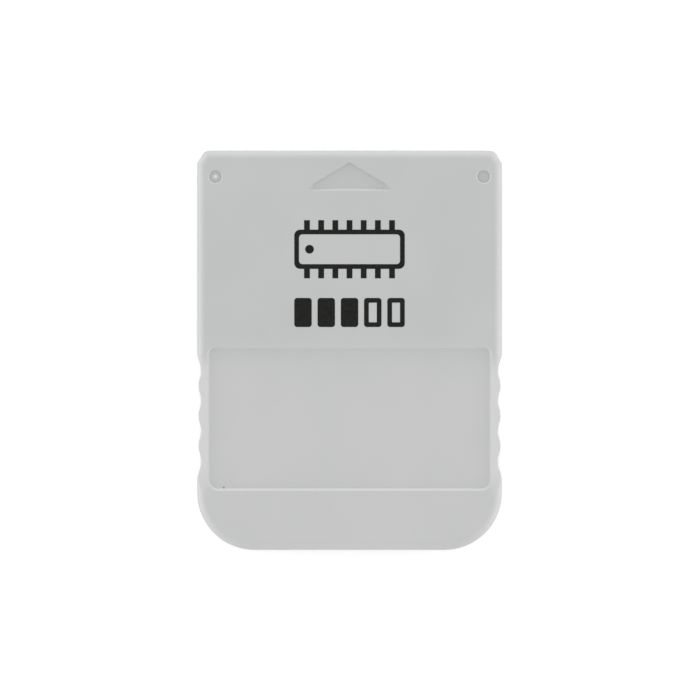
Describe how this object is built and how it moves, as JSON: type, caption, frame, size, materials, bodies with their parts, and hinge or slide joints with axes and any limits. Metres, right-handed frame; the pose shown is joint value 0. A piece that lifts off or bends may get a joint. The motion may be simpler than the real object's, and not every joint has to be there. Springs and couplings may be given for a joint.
{
  "type": "console memory card",
  "caption": "Flat memory card for a games console: two light grey moulded shells with scalloped finger grips, a label recess and an edge-contact board in the connector mouth.",
  "frame": {"origin": "middle of the back face, which the card lies on", "axes": "+Y along the card to the connector end, +X to the right seen from the front, +Z out of the front face"},
  "size_m": [0.042, 0.055, 0.008],
  "materials": {
    "shell_plastic": "fine satin moulded grey",
    "board_laminate": "green solder mask",
    "contact_gold": "gold plating",
    "chip_epoxy": "black moulded epoxy",
    "lead_tin": "tin plating",
    "capacitor_ceramic": "tan fired ceramic",
    "resistor_ceramic": "black glass over white ceramic"
  },
  "bodies": {
    "root": {"front_shell": "shell_plastic", "back_shell": "shell_plastic", "circuit_board": "board_laminate", "memory_chip": "chip_epoxy", "memory_chip_leads": "lead_tin", "controller_glob_top": "chip_epoxy", "contact_finger_1": "contact_gold", "contact_finger_2": "contact_gold", "contact_finger_3": "contact_gold", "contact_finger_4": "contact_gold", "contact_finger_5": "contact_gold", "contact_finger_6": "contact_gold", "contact_finger_7": "contact_gold", "contact_finger_8": "contact_gold", "capacitor_1": "capacitor_ceramic", "capacitor_2": "capacitor_ceramic", "capacitor_3": "capacitor_ceramic", "capacitor_4": "capacitor_ceramic", "resistor_1": "resistor_ceramic", "resistor_2": "resistor_ceramic", "resistor_3": "resistor_ceramic", "resistor_4": "resistor_ceramic"}
  },
  "joints": []
}
